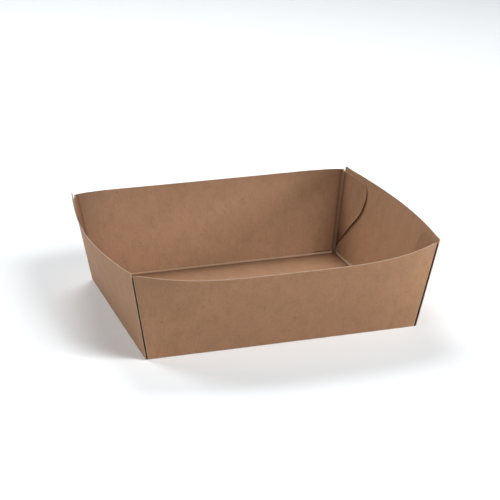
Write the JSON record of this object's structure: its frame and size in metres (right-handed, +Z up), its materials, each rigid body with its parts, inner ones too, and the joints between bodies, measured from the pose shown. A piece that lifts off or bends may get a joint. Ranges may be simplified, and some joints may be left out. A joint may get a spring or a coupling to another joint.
{
  "type": "folded paperboard food tray",
  "caption": "Open rectangular food tray folded from one sheet of brown paperboard, with flared walls that bow out at the rim and corner flaps glued inside.",
  "frame": {"origin": "middle of the underside of the base, on the surface that the tray stands on", "axes": "+X along the tray's length, +Y across its width, +Z up"},
  "size_m": [0.1838, 0.1658, 0.0513],
  "materials": {
    "board": "uncoated brown board, matt with a faint sheen"
  },
  "bodies": {
    "root": {"tray": "board"}
  },
  "joints": []
}
